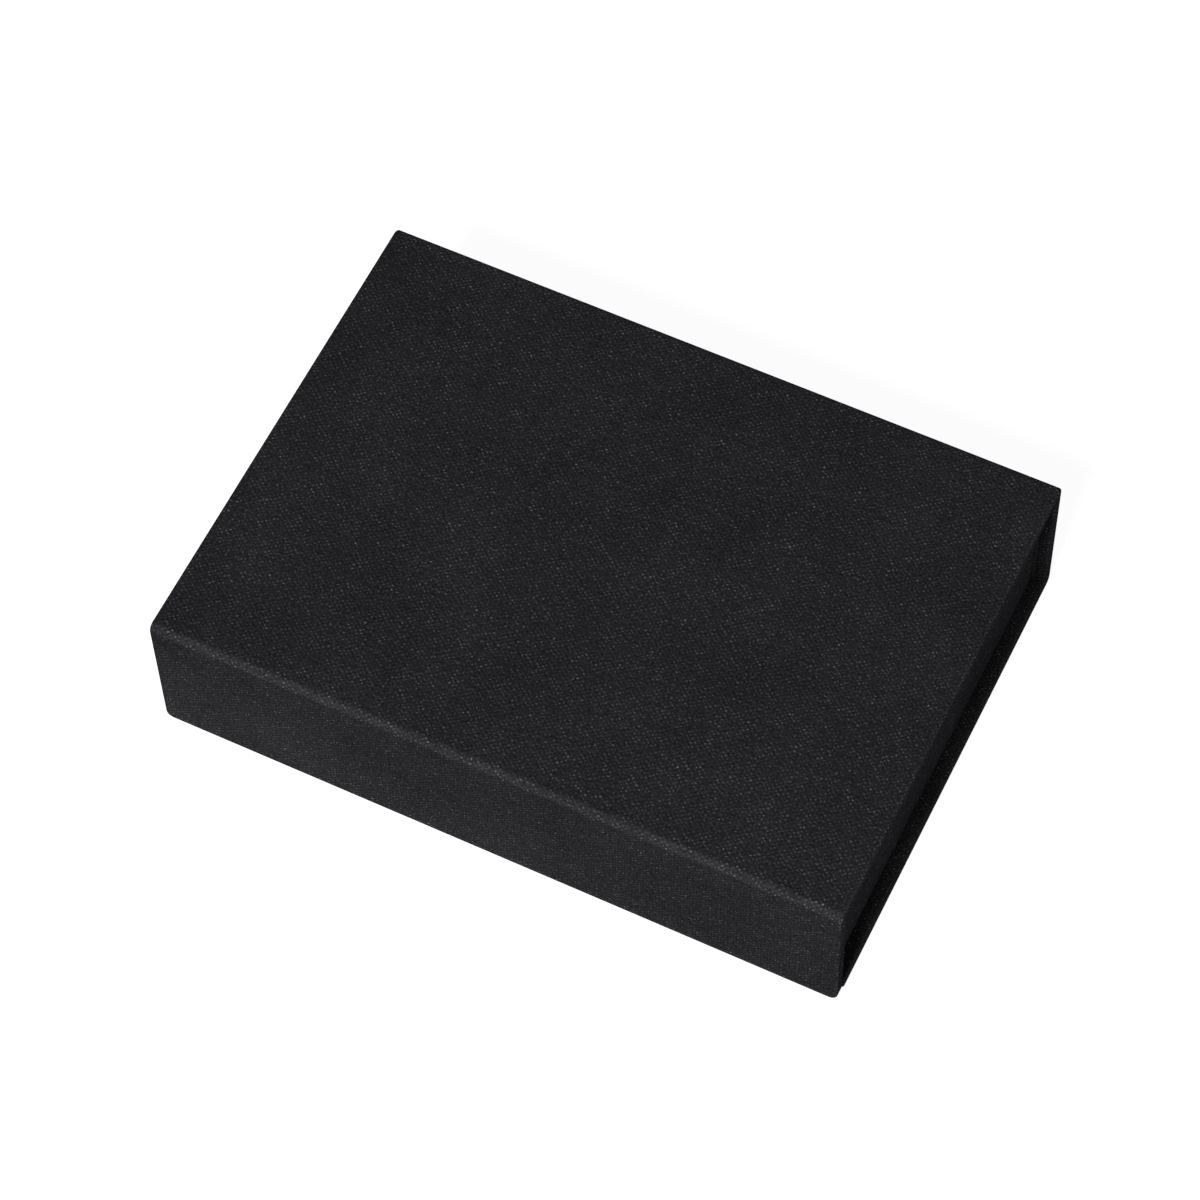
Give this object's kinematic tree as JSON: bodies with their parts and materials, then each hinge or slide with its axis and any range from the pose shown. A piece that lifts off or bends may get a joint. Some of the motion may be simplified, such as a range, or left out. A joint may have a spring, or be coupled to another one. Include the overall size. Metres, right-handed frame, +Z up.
{
  "type": "photo storage box",
  "caption": "Low cloth-covered box for photo prints: a shallow tray inside a wrap-around case whose hinged lid ends in a front flap held shut by hidden magnets.",
  "frame": {"origin": "centre of the underside, on the surface that the box stands on", "axes": "+X along the long side towards the right seen from the flap, +Y from the flap to the spine, +Z up through the lid"},
  "size_m": [0.17, 0.122, 0.041],
  "materials": {
    "case_cloth": "black paper-backed book cloth with a fine pebbled weave, matt",
    "tray_cloth": "black paper-backed book cloth, matt",
    "lining_paper": "black uncoated paper",
    "greyboard": "raw greyboard",
    "keeper_steel": "punched steel disc",
    "magnet_plating": "nickel-plated disc magnet"
  },
  "bodies": {
    "root": {"base_board": "greyboard", "base_cloth": "case_cloth", "spine_board": "greyboard", "spine_cloth": "case_cloth", "spine_lining": "lining_paper", "tray_floor": "greyboard", "tray_front_wall": "greyboard", "tray_back_wall": "greyboard", "tray_left_wall": "greyboard", "tray_right_wall": "greyboard", "tray_cloth": "tray_cloth", "tray_wall_lining": "lining_paper", "tray_floor_lining": "lining_paper", "left_keeper_disc": "keeper_steel", "right_keeper_disc": "keeper_steel"},
    "lid": {"lid_board": "greyboard", "lid_cloth": "case_cloth", "lid_lining": "lining_paper"},
    "flap": {"flap_board": "greyboard", "flap_cloth": "case_cloth", "flap_lining": "lining_paper", "left_magnet": "magnet_plating", "right_magnet": "magnet_plating"}
  },
  "joints": [
    {"name": "lid_hinge", "type": "hinge", "parent": "root", "child": "lid", "pos_m": [0, 0.06036, 0.04036], "axis": [-1, 0, 0], "range_deg": [0, 178]},
    {"name": "flap_hinge", "type": "hinge", "parent": "lid", "child": "flap", "pos_m": [0, -0.06036, 0.04036], "axis": [-1, 0, 0], "range_deg": [0, 178]}
  ]
}
